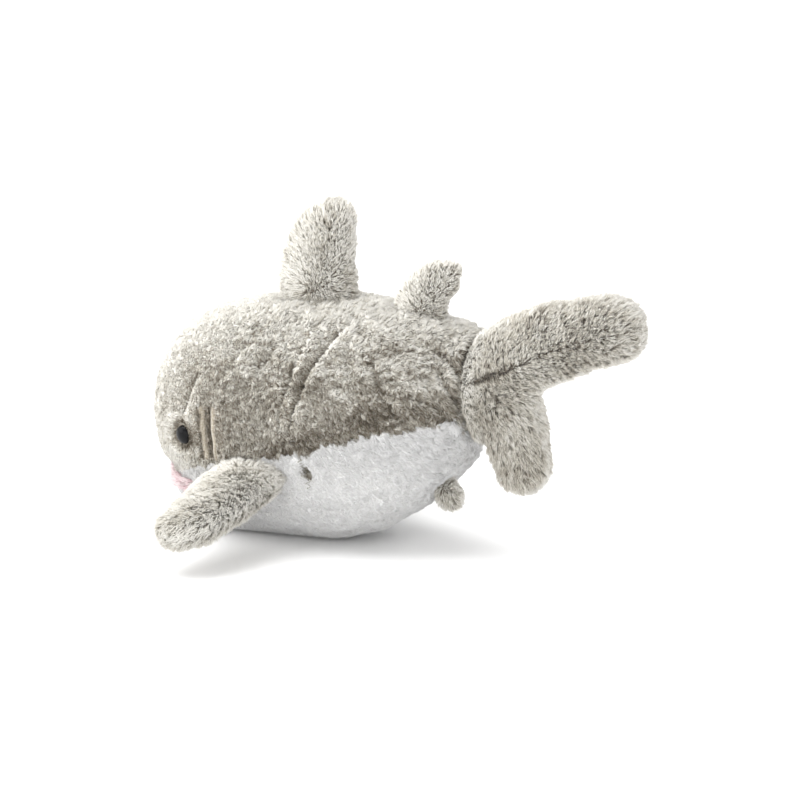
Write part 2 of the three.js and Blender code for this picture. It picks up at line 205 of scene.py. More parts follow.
def relaxed(vertices, faces, rounds):
    """Smooths without shrinking: each round goes in and out again."""
    ends = edges_of(faces)
    count = len(vertices)
    degree = np.bincount(ends.ravel(), minlength=count)[:, None]
    for step in [0.5, -0.52] * rounds:
        total = np.stack(
            [
                np.bincount(ends[:, 0], vertices[ends[:, 1], k], count)
                + np.bincount(ends[:, 1], vertices[ends[:, 0], k], count)
                for k in range(3)
            ],
            1,
        )
        vertices = vertices + step * (total / degree - vertices)
    return vertices


def normals_of(vertices, faces):
    a, b, c, d = (vertices[faces[:, k]] for k in range(4))
    area = np.cross(c - a, d - b)
    count = len(vertices)
    index = faces.ravel()
    total = np.stack([np.bincount(index, np.repeat(area[:, k], 4), count) for k in range(3)], 1)
    return unit(total)


def soft_surface(vertices, triangles, voxel, rounds, levels=1):
    """One smooth closed quad surface round everything given."""
    block = mesh_from("block", vertices, triangles)
    remesh = ("REMESH", {"mode": "VOXEL", "voxel_size": voxel, "adaptivity": 0.0})
    points, faces = largest_part(*quads_of(with_modifiers("block", block, remesh)))
    points = relaxed(points, faces, rounds)
    if levels:
        finer = ("SUBSURF", {"levels": levels, "render_levels": levels})
        points, faces = quads_of(with_modifiers("block", mesh_from("block", points, faces), finer))
    return points, faces


def tree_of(vertices, faces):
    return BVHTree.FromPolygons([Vector(v) for v in vertices], faces.tolist())


def inside(tree, points):
    """True for each point that lies inside the closed surface."""
    result = np.zeros(len(points), bool)
    for k, point in enumerate(points):
        near, normal, _, _ = tree.find_nearest(point, 0.03)
        if near is not None:
            offset = Vector(point) - near
            result[k] = offset.dot(normal) < -0.5 * offset.length
    return result


# ---- Side-view lines for creases, gills and partings.
def beside(points, line):
    """Signed distance across a side-view line, positive behind or above it, and the share along it."""
    line = [np.array([FRONT + y * MM, z * MM]) for y, z in line]
    flat = points[:, 1:]
    lengths = [np.linalg.norm(b - a) for a, b in zip(line, line[1:])]
    best = np.full(len(points), 1e9)
    across = np.zeros(len(points))
    share = np.zeros(len(points))
    done = 0
    for a, b, length in zip(line, line[1:], lengths):
        way = (b - a) / length
        place = (flat - a) @ way
        held = np.clip(place, 0, length)
        offset = flat - a - held[:, None] * way
        distance = np.linalg.norm(offset, axis=1)
        closer = distance < best
        side = np.sign(way[0] * (flat - a)[:, 1] - way[1] * (flat - a)[:, 0])
        best = np.where(closer, distance, best)
        across = np.where(closer, distance * side, across)
        share = np.where(closer, (done + held) / sum(lengths), share)
        done += length
    return across, share


def gill_line(side, which):
    """A slit's side-view line, from its top to its bottom, in millimetres."""
    low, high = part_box(f"{side}_{which}_gill_insert")
    half = 2.1 * MM
    top = ((low.y + half - FRONT) / MM, high.z / MM)
    bottom = ((high.y - half - FRONT) / MM, low.z / MM)
    return [top, bottom]


# Creases in the grey cloth: side-view line, depth and half width.
CREASES = [
    ([(206, 206), (186, 172), (176, 140), (167, 106)], 2.6, 3.6),
    ([(176, 200), (166, 160), (160, 128), (158, 104)], 2.0, 3.2),
    ([(150, 186), (132, 160), (122, 142)], 0.8, 3.5),
    ([(112, 176), (98, 150), (84, 128)], 0.9, 3.5),
    ([(128, 196), (112, 168), (96, 140)], 0.8, 5.0),
    ([(72, 148), (64, 120), (60, 104)], 2.4, 4.0),
    ([(286, 172), (300, 150), (306, 128)], 2.2, 3.0),
    ([(268, 150), (290, 138), (305, 122)], 1.6, 3.5),
    ([(278, 186), (296, 176), (306, 160)], 1.5, 3.5),
    ([(232, 176), (246, 150), (262, 126)], 1.2, 5.0),
]
TAIL_PARTING = [(312, 158), (345, 172), (375, 188), (405, 201), (440, 212)]
CLOSING_DIMPLE = (183, 74)
CLOSING_FOLD = [(183, 76), (176, 92), (172, 104)]  # runs up from the dimple
TAIL_SEAM = 306  # distance of the tail root's seam behind the front
EYE_SEAT = 6.5 * MM  # from the middle of the washer to the back of the eye's dome


def eye_frame(side):
    """The middle of the eye's back face and the direction that the eye looks in."""
    eye, washer = (np.array([list(c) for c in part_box(f"{side}_{n}")]).mean(0) for n in ("eye", "eye_washer"))
    out = unit(eye - washer)
    return washer + out * EYE_SEAT, out


def round_eye(points, side):
    """Offset of each point from the eye's seat, its height over it, its distance from the eye's axis in
    millimetres, and the eye's direction."""
    seat, out = eye_frame(side)
    offset = points - seat
    height = offset @ out
    radius = np.linalg.norm(offset - height[:, None] * out, axis=1) / MM
    return offset, height, radius, out


def from_dimple(points):
    """Side-view distance from the closing dimple, in millimetres."""
    y, z = side_view(points)
    return np.linalg.norm(np.stack([y - CLOSING_DIMPLE[0], z - CLOSING_DIMPLE[1]], 1), axis=1)


def crease_lift(points):
    """Each crease is a groove with a ridge on one side. Lifts are in millimetres."""
    flank = smoothstep(20, 45, np.abs(points[:, 0]) / MM)
    lift = np.zeros(len(points))
    for line, depth, width in CREASES:
        across, share = beside(points, line)
        fade = np.clip(np.minimum(share, 1 - share) * 6, 0, 1)
        across = across / MM
        fold = 0.5 * bump(across, 1.9 * width, width) - bump(across, 0, width / 1.4)
        lift += flank * fade * 1.7 * depth * fold
    return lift


def gill_lift(points):
    """The front slit is a deep fold ahead of its strip; both have a groove and a ridge behind theirs."""
    lift = np.zeros(len(points))
    for side, sign in SIDES.items():
        here = sign * points[:, 0] > 0
        for which in GILLS:
            across, share = beside(points, gill_line(side, which))
            across = -across / MM
            ends = np.clip(np.minimum(share, 1 - share) * 9, 0, 1) * here
            if which == "front":
                profile = -5.2 * bump(across, -3.4, 1.9) - 1.8 * bump(across, 0, 2.6)
                profile += -3.2 * bump(across, 3.8, 1.2) * smoothstep(0.3, 0.9, share)
                profile += 1.4 * bump(across, 7, 2.2)
            else:
                profile = 0.6 * bump(across, -1, 2.4) - 3.4 * bump(across, 3.4, 1.3)
                profile += 1.8 * bump(across, 6.4, 2)
            lift += ends * profile
    return lift


def mouth_lift(points):
    """The mouth band is sunk, and the lip over it recedes."""
    y, z = side_view(points)
    return -5.5 * mouth_share(points) - 5.0 * bump(z, 55, 8) * smoothstep(70, 40, y)


def tail_lift(points):
    """The sewn seam at the tail's root, with a ridge behind it, and the start of the parting."""
    y, z = side_view(points)
    tail = smoothstep(306, 330, y)
    across, share = beside(points, TAIL_PARTING)
    parting = -1.3 * tail * (1 - smoothstep(0.1, 0.5, share)) * bump(across / MM, 0, 2.4)
    seam = 2.2 * bump(y, TAIL_SEAM + 8, 4) - 5.5 * bump(y, TAIL_SEAM, 3.6)
    return parting + seam * smoothstep(-3, 3, z - 104)


def closing_lift(points):
    """The puckered dimple of the hand-sewn closing on the left side, and a fold that runs up from it."""
    left = points[:, 0] > 0
    dimple = from_dimple(points)
    across, share = beside(points, CLOSING_FOLD)
    fold = -2.2 * bump(across / MM, 0, 3) * left * (share < 0.98)
    return (-7.5 * bump(dimple, 0, 6.5) + 1.6 * bump(dimple, 12, 5)) * left + fold


def lump_lift(points):
    """Uneven filling and cloth, less so on the head."""
    y, z = side_view(points)
    calm = 1 - 0.75 * smoothstep(120, 60, y)
    lift = calm * (0.9 * waves(points, 46 * MM, 3) + 0.55 * waves(points, 17 * MM, 4))
    return lift + calm * 0.45 * waves(points, 7 * MM, 5) * smoothstep(60, 110, z)


def shaped_body(points, faces):
    """Sinks and raises the trunk and tail skin: creases, gills, mouth, seams, lumps, eye sockets."""
    parts = (crease_lift, gill_lift, mouth_lift, tail_lift, closing_lift, lump_lift)
    lift = sum(part(points) for part in parts)
    lift *= smoothstep(1.5, 14, points[:, 2] / MM)  # nothing where the belly rests
    points = points + normals_of(points, faces) * (lift * MM)[:, None]
    for side in SIDES:
        _, height, radius, out = round_eye(points, side)
        here = np.abs(height) < 25 * MM
        share = (1 - smoothstep(9.5, 19, radius)) * here
        points = points + (share * (0.3 * MM - height))[:, None] * out
        ridge = bump(radius, 20, 5) * here
        points = points + (ridge * 1.2 * MM)[:, None] * out
    return points


def mouth_share(points):
    """1 on the pink mouth band under the snout, falling to 0 round it."""
    low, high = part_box("mouth_lining")
    middle = (low.z + high.z) / 2
    across = bump(points[:, 2], middle, (high.z - low.z) * 0.6)
    width = 1 - smoothstep(high.x - 8 * MM, high.x + 2 * MM, np.abs(points[:, 0]))
    return across * width * (points[:, 1] < high.y + 4 * MM)


# ---- Materials.
def plain(name, colour, roughness=0.9, sheen=0.25):
    """One even colour: a hair, or one half of a bent hair."""
    material = bpy.data.materials.new(name)
    material.use_nodes = True
    shader = material.node_tree.nodes["Principled BSDF"]
    shader.inputs["Base Color"].default_value = (*colour, 1)
    shader.inputs["Roughness"].default_value = roughness
    shader.inputs["Specular IOR Level"].default_value = 0.15
    shader.inputs["Sheen Weight"].default_value = sheen
    shader.inputs["Sheen Roughness"].default_value = 0.5
    return material


def cloth(name, dark, light, scale=420.0, roughness=0.95, depth=0.5, weave=False):
    """Backing cloth, filling or other fibre: mottled colour, and a fine woven or felted bump."""
    material = bpy.data.materials.new(name)
    material.use_nodes = True
    nodes, links = material.node_tree.nodes, material.node_tree.links
    shader = nodes["Principled BSDF"]
    place = nodes.new("ShaderNodeTexCoord")
    noise = nodes.new("ShaderNodeTexNoise")
    noise.inputs["Scale"].default_value = scale
    noise.inputs["Detail"].default_value = 5
    links.new(place.outputs["Object"], noise.inputs["Vector"])
    ramp = nodes.new("ShaderNodeValToRGB")
    ramp.color_ramp.elements[0].position = 0.36
    ramp.color_ramp.elements[0].color = (*dark, 1)
    ramp.color_ramp.elements[1].position = 0.66
    ramp.color_ramp.elements[1].color = (*light, 1)
    links.new(noise.outputs["Fac"], ramp.inputs["Fac"])
    links.new(ramp.outputs["Color"], shader.inputs["Base Color"])
    relief = noise
    if weave:
        relief = nodes.new("ShaderNodeTexWave")
        relief.inputs["Scale"].default_value = scale
        relief.inputs["Distortion"].default_value = 0.6
        links.new(place.outputs["Object"], relief.inputs["Vector"])
    surface = nodes.new("ShaderNodeBump")
    surface.inputs["Strength"].default_value = depth
    surface.inputs["Distance"].default_value = 0.6 * MM
    links.new(relief.outputs["Fac"], surface.inputs["Height"])
    links.new(surface.outputs["Normal"], shader.inputs["Normal"])
    shader.inputs["Roughness"].default_value = roughness
    shader.inputs["Sheen Weight"].default_value = 0.3
    return material


def glossy_eye():
    """Polished black plastic with faint handling marks."""
    material = bpy.data.materials.new("polished_black")
    material.use_nodes = True
    nodes, links = material.node_tree.nodes, material.node_tree.links
    shader = nodes["Principled BSDF"]
    noise = nodes.new("ShaderNodeTexNoise")
    noise.inputs["Scale"].default_value = 700
    spread = nodes.new("ShaderNodeMapRange")
    spread.inputs["To Min"].default_value = 0.05
    spread.inputs["To Max"].default_value = 0.14
    links.new(noise.outputs["Fac"], spread.inputs["Value"])
    links.new(spread.outputs["Result"], shader.inputs["Roughness"])
    shader.inputs["Base Color"].default_value = (0.003, 0.003, 0.0035, 1)
    shader.inputs["Specular IOR Level"].default_value = 0.14
    return material


# Five shades of each pile, from dark to light.
GREY_SHADES = [
    (0.10, 0.082, 0.055),
    (0.27, 0.235, 0.185),
    (0.50, 0.462, 0.395),
    (0.74, 0.71, 0.635),
    (0.92, 0.90, 0.845),
]
WHITE_SHADES = [
    (0.72, 0.712, 0.69),
    (0.82, 0.813, 0.80),
    (0.88, 0.875, 0.865),
    (0.92, 0.917, 0.91),
    (0.95, 0.948, 0.94),
]
PINK_SHADES = [
    (0.62, 0.40, 0.42),
    (0.74, 0.53, 0.55),
    (0.82, 0.64, 0.66),
    (0.88, 0.74, 0.75),
    (0.90, 0.80, 0.80),
]
PILES = {
    name: [plain(f"{name}_pile_{k}", shade) for k, shade in enumerate(shades)]
    for name, shades in (("grey", GREY_SHADES), ("white", WHITE_SHADES), ("pink", PINK_SHADES))
}
CLOTHS = {
    "grey": cloth("grey_backing", (0.15, 0.125, 0.09), (0.34, 0.30, 0.25)),
    "white": cloth("white_backing", (0.62, 0.61, 0.59), (0.85, 0.845, 0.83)),
    "pink": cloth("pink_backing", (0.62, 0.42, 0.43), (0.80, 0.62, 0.63)),
    "gill": cloth("gill_cloth", (0.26, 0.225, 0.165), (0.50, 0.455, 0.385), scale=900),
    "filling": cloth("fibre_filling", (0.78, 0.77, 0.74), (0.9, 0.89, 0.87), scale=260),
    "thread": cloth("twisted_thread", (0.16, 0.14, 0.08), (0.3, 0.27, 0.18), scale=1500, weave=True),
    "label": cloth("woven_ribbon", (0.60, 0.59, 0.56), (0.72, 0.71, 0.68), scale=1400, weave=True),
    "washer": cloth(
        "natural_plastic", (0.66, 0.66, 0.63), (0.72, 0.72, 0.69), scale=60, roughness=0.5, depth=0.1
    ),
}
EYE_BLACK = glossy_eye()


# ---- Pile.
def scattered(vertices, faces, density, rng):
    """Random places on the quads, `density` of them per square metre: quad numbers and corner weights."""
    a, b, c, d = (vertices[faces[:, k]] for k in range(4))
    area = 0.5 * np.linalg.norm(np.cross(c - a, d - b), axis=1)
    expected = area * density
    count = np.floor(expected + rng.random(len(faces))).astype(int)
    face = np.repeat(np.arange(len(faces)), count)
    s, t = rng.random((2, len(face), 1))
    weights = [(1 - s) * (1 - t), s * (1 - t), s * t, (1 - s) * t]
    return face, weights


def mixed(values, faces, face, weights):
    return sum(weight * values[faces[face, k]] for k, weight in enumerate(weights))


def hair_object(name, points, pattern, shade, materials):
    """Joins hairs that share a pattern of triangles, each triangle with the number of its shade."""
    points[..., 2] = np.maximum(points[..., 2], FLOOR_CLEARANCE)
    count, corners = points.shape[:2]
    faces = (np.array(pattern)[None] + corners * np.arange(count)[:, None, None]).reshape(-1, 3)
    mesh = mesh_from(name, points.reshape(-1, 3), faces)
    for material in materials:
        mesh.materials.append(material)
    mesh.polygons.foreach_set("material_index", shade.ravel().astype(np.int32))
    return object_from(name, mesh)


def spike_mesh(name, root, tip, width, shade, rng, materials):
    """Closed straight three-sided hairs."""
    way = unit(tip - root)
    side = unit(np.cross(way, rng.normal(size=(len(root), 3))))
    other = np.cross(way, side)
    half = (width / 2)[:, None]
    corners = [
        root - way * HAIR_DEPTH + half * (side * math.cos(angle) + other * math.sin(angle))
        for angle in np.arange(3) * 2 * math.pi / 3
    ]
    points = np.stack([*corners, tip], 1)
    pattern = [[0, 2, 1], [0, 1, 3], [1, 2, 3], [2, 0, 3]]
    return hair_object(name, points, pattern, np.repeat(shade, STRAIGHT_HAIR_TRIANGLES), materials)


def hair_mesh(name, root, first, second, length, width, low_shade, high_shade, rng, materials):
    """Closed three-sided hairs, each with one bend and a point."""
    side = unit(np.cross(first, rng.normal(size=(len(root), 3))))
    other = np.cross(first, side)
    angle = np.arange(3) * 2 * math.pi / 3
    ring = side[:, None] * np.cos(angle)[None, :, None] + other[:, None] * np.sin(angle)[None, :, None]
    half = (width / 2)[:, None, None]
    reach = length[:, None]
    low = (root - first * HAIR_DEPTH)[:, None] + ring * half
    bend = root + first * reach * 0.5
    middle = bend[:, None] + ring * half * 0.8
    tip = bend + second * reach * 0.5
    points = np.concatenate([low, middle, tip[:, None]], 1)
    pattern = [[0, 2, 1]]
    for k in range(3):
        after = (k + 1) % 3
        pattern += [[k, after, after + 3], [k, after + 3, k + 3]]
    pattern += [[k + 3, (k + 1) % 3 + 3, 6] for k in range(3)]
    below_bend = np.repeat(low_shade[:, None], 7, 1)
    above_bend = np.repeat(high_shade[:, None], 3, 1)
    shade = np.concatenate([below_bend, above_bend], 1)
    return hair_object(name, points, pattern, shade, materials)


def tufts_of(root, share, rng):
    """Picks this share of the hairs as tuft centres: their numbers, and the nearest centre of each hair."""
    centres = np.flatnonzero(rng.random(len(root)) < share)
    tree = KDTree(len(centres))
    for k, centre in enumerate(centres):
        tree.insert(root[centre], k)
    tree.balance()
    return centres, np.array([tree.find(point)[1] for point in root])


def pile(name, vertices, normals, faces, look, place, hidden=None, seed=1):
    """Hairs over part of a skin. `place` turns points and normals into a length in millimetres, a flow
    direction, a shade shift and a share of hairs kept; `look` holds the numbers of this kind of pile."""
    rng = np.random.default_rng(seed)
    face, weights = scattered(vertices, faces, look["density"] * 1e6, rng)
    root = mixed(vertices, faces, face, weights)
    normal = unit(mixed(normals, faces, face, weights))
    length, flow, shade, kept = place(root, normal)
    keep = rng.random(len(root)) < kept
    if hidden is not None:
        keep &= ~hidden(root)
    root, normal, length, flow, shade = (a[keep] for a in (root, normal, length, flow, shade))
    count = len(root)
    centres, tuft = tufts_of(root, 1 / (look["density"] * look["tuft"] ** 2), rng)
    tuft_way = rng.normal(size=(len(centres), 3))
    tuft_shade = rng.normal(size=len(centres))
    flow = flow + look["curl"] * tuft_way[tuft] + look["stray"] * rng.normal(size=(count, 3))
    flow = unit(flow - (flow * normal).sum(1)[:, None] * normal)
    length = length * MM * rng.uniform(0.75, 1.2, count)
    half = (length / 2)[:, None]

    def leaning(degrees):
        lift = np.radians(degrees + 8 * rng.normal(size=count))[:, None]
        return unit(normal * np.sin(lift) + flow * np.cos(lift))

    def gather_share():
        return look["gather"] * rng.uniform(0.4, 1.0, (count, 1))

    first, second = leaning(look["rise"]), leaning(look["fall"])
    tip = root + (first + second) * half
    gathered = tip[centres][tuft]
    tip = tip + gather_share() * (gathered - tip)
    bend = root + first * half
    bend = bend + 0.27 * gather_share() * (gathered - bend)
    first = unit(bend - root)
    second = unit(tip - (root + first * half))
    tone = look["tone"] + shade + look["mottle"] * tuft_shade[tuft] + look["speckle"] * rng.normal(size=count)
    high_shade = np.clip(np.round(tone), 0, 4)
    # Bent hairs are darker below their bend: painted shade among the roots.
    low_shade = np.clip(np.round(tone - look["root_drop"]), 0, 4)
    width = look["width"] * MM * rng.uniform(0.7, 1.2, count)
    per_hair = BENT_HAIR_TRIANGLES if look["bent"] else STRAIGHT_HAIR_TRIANGLES
    pieces = max(1, math.ceil(count * per_hair / FACES_PER_PIECE))
    materials = PILES[look["palette"]]
    made = []
    for k in range(pieces):
        part = np.arange(count) % pieces == k
        label = name if pieces == 1 else f"{name}_{k + 1}"
        if look["bent"]:
            hairs = (a[part] for a in (root, first, second, length, width, low_shade, high_shade))
            made.append(hair_mesh(label, *hairs, rng, materials))
        else:
            hairs = (a[part] for a in (root, tip, width, high_shade))
            made.append(spike_mesh(label, *hairs, rng, materials))
    return made


# The kinds of pile. Density is in hairs per square millimetre, tuft and width in millimetres, rise and fall
# the angles off the cloth of a hair's two halves in degrees, and the rest are shares and shades.
FLANK = {"density": 2.5, "tuft": 2.5, "curl": 0.55, "stray": 0.3, "rise": 56, "fall": 30, "gather": 0.75,
         "tone": 2.15, "mottle": 0.55, "speckle": 0.7, "root_drop": 0, "width": 0.75, "palette": "grey",
         "bent": False}
LONG = {"density": 1.8, "tuft": 2.8, "curl": 0.13, "stray": 0.14, "rise": 60, "fall": 32, "gather": 0.5,
        "tone": 3.55, "mottle": 0.35, "speckle": 0.5, "root_drop": 1.3, "width": 0.62, "palette": "grey",
        "bent": True}
BELLY = {"density": 1.5, "tuft": 4.5, "curl": 0.25, "stray": 0.25, "rise": 44, "fall": 16, "gather": 0.35,
         "tone": 3.2, "mottle": 0.3, "speckle": 0.5, "root_drop": 0, "width": 0.85, "palette": "white",
         "bent": False}
MOUTH = {"density": 1.3, "tuft": 4.0, "curl": 0.3, "stray": 0.3, "rise": 70, "fall": 50, "gather": 0.4,
         "tone": 3.2, "mottle": 0.6, "speckle": 0.7, "root_drop": 0.8, "width": 0.7, "palette": "pink",
         "bent": True}


# ---- Pieces from a skin.
def panel(name, vertices, faces, material):
    """A cloth panel: the chosen quads of a skin, given the cloth's thickness inwards."""
    mesh = mesh_from(name, *compact(vertices, faces))
    thick = ("SOLIDIFY", {"thickness": CLOTH, "offset": -1.0, "use_rim": True})
    made = object_from(name, with_modifiers(name, mesh, thick))
    made.data.materials.clear()
    made.data.materials.append(material)
    return made


def body_blend(piece):
    """Bakes the piece's placement into its mesh."""
    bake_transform(piece)


# Which cloth each panel of the trunk and tail is cut from.
TAIL_NODES = {f"tail_{side}_panel": "grey" for side in SIDES}
PANELS = {
    **{f"{side}_side_panel": "grey" for side in SIDES},
    **TAIL_NODES,
    **{f"{side}_{which}_gill_insert": "gill" for side in SIDES for which in GILLS},
    "belly_panel": "white",
    "mouth_lining": "pink",
}


def nearest_panels(points):
    """Which CAD panel each point belongs to."""
    names = sorted(PANELS)
    vertices, triangles, owner, count = [], [], [], 0
    for k, name in enumerate(names):
        v, t = node_arrays([name])
        vertices.append(v)
        triangles.append(t + count)
        owner += [k] * len(t)
        count += len(v)
    tree = tree_of(np.concatenate(vertices), np.concatenate(triangles))
    found = np.array([owner[tree.find_nearest(point)[2]] for point in points])
    return names, found


def body_skin():
    filled = ["body_stuffing", "tail_stuffing", *PANELS]
    filled += [f"{side}_{part}" for side in SIDES for part in ("eye", "eye_washer")]
    vertices, faces = soft_surface(*node_arrays(filled), VOXEL, 14)
    tail = smoothstep(300, 340, (vertices[:, 1] - FRONT) / MM)[:, None]
    vertices = vertices - normals_of(vertices, faces) * SKIN_INSET * (1 - 0.7 * tail)
    middle = vertices[faces].mean(1)
    middle[:, 2] += 1.6 * MM * waves(middle, 9 * MM, 12) + 1.2 * MM * waves(middle, 30 * MM, 13)
    names, owner = nearest_panels(middle)
    vertices = shaped_body(vertices, faces)
    return vertices, faces, names, owner


def trunk_flow(root, tail, parted):
    """Backwards and down over the trunk, away from the root over the tail, and apart at its parting."""
    level = np.zeros(len(root))
    back = np.stack([level, level + 1, -0.45 * (1 - tail)], 1)
    hinge = np.array(HINGES["tail"]["pos_m"])
    away = unit(root - hinge - np.array([0, 6 * MM, 0]))
    flow = back * (1 - tail)[:, None] + away * tail[:, None]
    flow[:, 2] += 0.9 * parted
    flow[:, 1] -= 0.35 * parted
    return flow


def trunk_tone_and_painted_light(root, normal, tail):
    """Painted light and shade: lighter over the back and the head as painted light, a painted back-lit rim on
    the tail's rims, painted shade low on the rear flank, and some random tone.
    """
    y, z = side_view(root)
    up = normal[:, 2]
    rim = 1 - np.abs(normal[:, 0])
    # Painted light where faces turn up to the overhead light, and over the head towards the front light.
    shade = 2.0 * smoothstep(0.2, 0.8, up) * (1 - tail) + 1.5 * smoothstep(100, 35, y)
    # Painted shade low on the rear flank.
    shade += -0.35 * smoothstep(170, 240, y) * (1 - tail) * (1 - smoothstep(0.2, 0.6, up))
    # A painted back-lit rim on the tail's edges and painted light on its upper part, over a darker middle.
    shade += tail * (-0.85 + 1.5 * smoothstep(0.45, 0.95, rim) + 0.25 * smoothstep(120, 160, z))
    # Painted shade on faces turned away from above.
    shade += -0.3 * (1 - smoothstep(0, 0.4, up)) * smoothstep(90, 170, y) * (1 - tail)
    shade += 0.3 * waves(root, 60 * MM, 9)
    # Painted shade in the groove of the tail's root seam, and a painted highlight on the ridge behind it.
    shade += 0.9 * bump(y, TAIL_SEAM + 7, 3) - 1.5 * bump(y, TAIL_SEAM - 0.5, 2.6)
    return shade


def gill_pile(root, length, shade, kept):
    """Clears the slits of pile, and shortens it along their edges, with painted shade in the front slit's fold
    and in each slit's rear groove.
    """
    for side, sign in SIDES.items():
        here = sign * root[:, 0] > 0
        for which in GILLS:
            across, share = beside(root, gill_line(side, which))
            across = -across / MM
            ends = here & (share > 0.01) & (share < 0.99)
            # Painted shade in the front slit's fold and in each slit's groove behind its strip.
            fold = -2.6 * bump(across, -3.4, 2.2) * (which == "front")
            shade += ends * (fold - 2.2 * bump(across, 3.6, 1.3))
            edge = ends & (np.abs(across) < 9)
            length[edge] = np.minimum(length[edge], 1.9)
            kept[ends & (np.abs(across) < 2.4)] = 0


def eye_pile(root, length, flow, shade, kept):
    """Clears the eye's seat, with short pile round it that lies away from the eye, darkened in the socket as
    painted shade.
    """
    for side in SIDES:
        offset, _, radius, _ = round_eye(root, side)
        near = np.linalg.norm(offset, axis=1) < 30 * MM
        # Painted shade in the socket round the eye, and a painted highlight on the ridge round that.
        shade += near * (-3.0 * (1 - smoothstep(10.5, 15.5, radius)) + 0.5 * bump(radius, 19, 3))
        short = near & (radius < 16)
        length[short] = 1.6 + 0.1 * radius[short]
        turned = near & (radius < 20)
        flow[turned] = unit(offset[turned])
        kept[near & (radius < 9.2)] = 0


def trunk_place(root, normal):
    """How the pile lies over the trunk and tail."""
    y, z = side_view(root)
    up = normal[:, 2]
    tail = smoothstep(300, 330, y)
    length = 3.0 + 1.4 * smoothstep(70, 130, y) + 1.6 * smoothstep(0.55, 0.95, up) * smoothstep(90, 140, y)
    length += 1.6 * smoothstep(250, 300, y) + 2.8 * tail + 1.5 * smoothstep(110, 95, z) * tail
    across, share = beside(root, TAIL_PARTING)
    across = across / MM
    parted = np.sign(across) * bump(across, 0, 9) * tail * (1 - 0.75 * smoothstep(0.1, 0.6, share))
    flow = trunk_flow(root, tail, parted)
    shade = trunk_tone_and_painted_light(root, normal, tail)
    # Painted shade along the start of the tail's parting groove.
    shade += -1.4 * tail * (1 - smoothstep(0.1, 0.45, share)) * bump(across, 0, 1.8)
    kept = np.ones(len(root))
    gill_pile(root, length, shade, kept)
    eye_pile(root, length, flow, shade, kept)
    flank = np.abs(root[:, 0]) > 25 * MM
    for line, depth, width in CREASES:
        across, _ = beside(root, line)
        across = across / MM
        # Painted shade in each crease's groove and a painted highlight on its ridge.
        shade += -0.7 * depth * bump(across, 0, width / 2.5) * flank
        shade += 0.18 * depth * bump(across, 1.8 * width, width) * flank
    length[z < 3] = 2.0
    return length, flow, shade, kept


def belly_place(root, normal):
    """How the white pile lies: backwards and outwards, thin where the belly rests and in the dimple."""
    y, z = side_view(root)
    level = np.zeros(len(root))
    length = 3.8 + 3.2 * smoothstep(60, 115, z) + 3.0 * smoothstep(240, 295, y)
    flow = np.stack([0.25 * np.sign(root[:, 0]), level + 1, level - 0.35], 1)
    kept = np.ones(len(root))
    kept[(root[:, 0] > 0) & (from_dimple(root) < 5)] = 0.15
    resting = z < 3.2
    kept[resting] = 0.35
    length[resting] = 1.4
    return length, flow, level, kept


def mouth_place(root, normal):
    """How the pink fringe lies: forwards and up."""
    level = np.zeros(len(root))
    flow = np.stack([np.sign(root[:, 0]) * 0.3, level - 0.6, level + 0.7], 1)
    return level + 8.5, flow, level, level + 1


def hidden_in(trees):
    """A test for roots that lie inside any of these closed surfaces."""

    def test(root):
        return np.any([inside(tree, root) for tree in trees], axis=0)

    return test


def build_body(fin_trees):
    vertices, faces, names, owner = body_skin()
    normals = normals_of(vertices, faces)
    looks = {"grey": (FLANK, trunk_place), "white": (BELLY, belly_place), "pink": (MOUTH, mouth_place)}
    hidden = hidden_in(fin_trees)
    for k, node in enumerate(names):
        kind = PANELS[node]
        part = faces[owner == k]
        if not len(part):
            continue
        title = node.replace("_panel", "").replace("_lining", "").replace("_insert", "")
        skin = panel(f"{title}_cloth", vertices, part, CLOTHS[kind])
        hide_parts(node)
        body_blend(skin)
        if kind == "gill":
            continue
        look, place = looks[kind]
        if node in TAIL_NODES:
            look = LONG
        for piece in pile(f"{title}_pile", vertices, normals, part, look, place, hidden, seed=20 + k):
            body_blend(piece)
    build_mouth_corners(vertices, normals, faces, hidden)
    return vertices, faces


def build_mouth_corners(vertices, normals, faces, hidden):
    """The mouth's pink pile carries on over the ends of its lining, up to the corners of the jaw."""
    low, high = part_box("mouth_lining")
    middle = vertices[faces].mean(1)
    level = np.abs(middle[:, 2] - (low.z + high.z) / 2 - 1 * MM) < 5.5 * MM
    corner = (np.abs(middle[:, 0]) > high.x - 6 * MM) & (middle[:, 1] < FRONT + 66 * MM)
    chosen = faces[level & corner]
    look = dict(MOUTH, density=0.8)
    for piece in pile("mouth_corner_pile", vertices, normals, chosen, look, mouth_place, hidden, seed=97):
        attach(piece, "trunk")


# ---- Fins.
# Each fin's two panels, how far its skin reaches into the body, the stretch ahead of and past the hinge over
# which it bends, and the length of its pile, in millimetres.
FINS = {
    "dorsal_fin": {"sides": ("left", "right"), "reach": 14, "start": 14, "end": 13, "length": 7.5},
    "second_dorsal_fin": {"sides": ("left", "right"), "reach": 12, "start": 12, "end": 11, "length": 7.0},
    "left_pectoral_fin": {"sides": ("top", "bottom"), "reach": 20, "start": 18, "end": 16, "length": 7.5},
    "right_pectoral_fin": {"sides": ("top", "bottom"), "reach": 20, "start": 18, "end": 16, "length": 7.5},
    "anal_fin": {"sides": ("left", "right"), "reach": 8, "start": 8, "end": 5, "length": 8},
}


FIN_INSET = 0.6  # the fin's cloth lies this far inside its outline, in millimetres


def box_middle(node):
    return np.array([list(corner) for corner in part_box(node)]).mean(0)


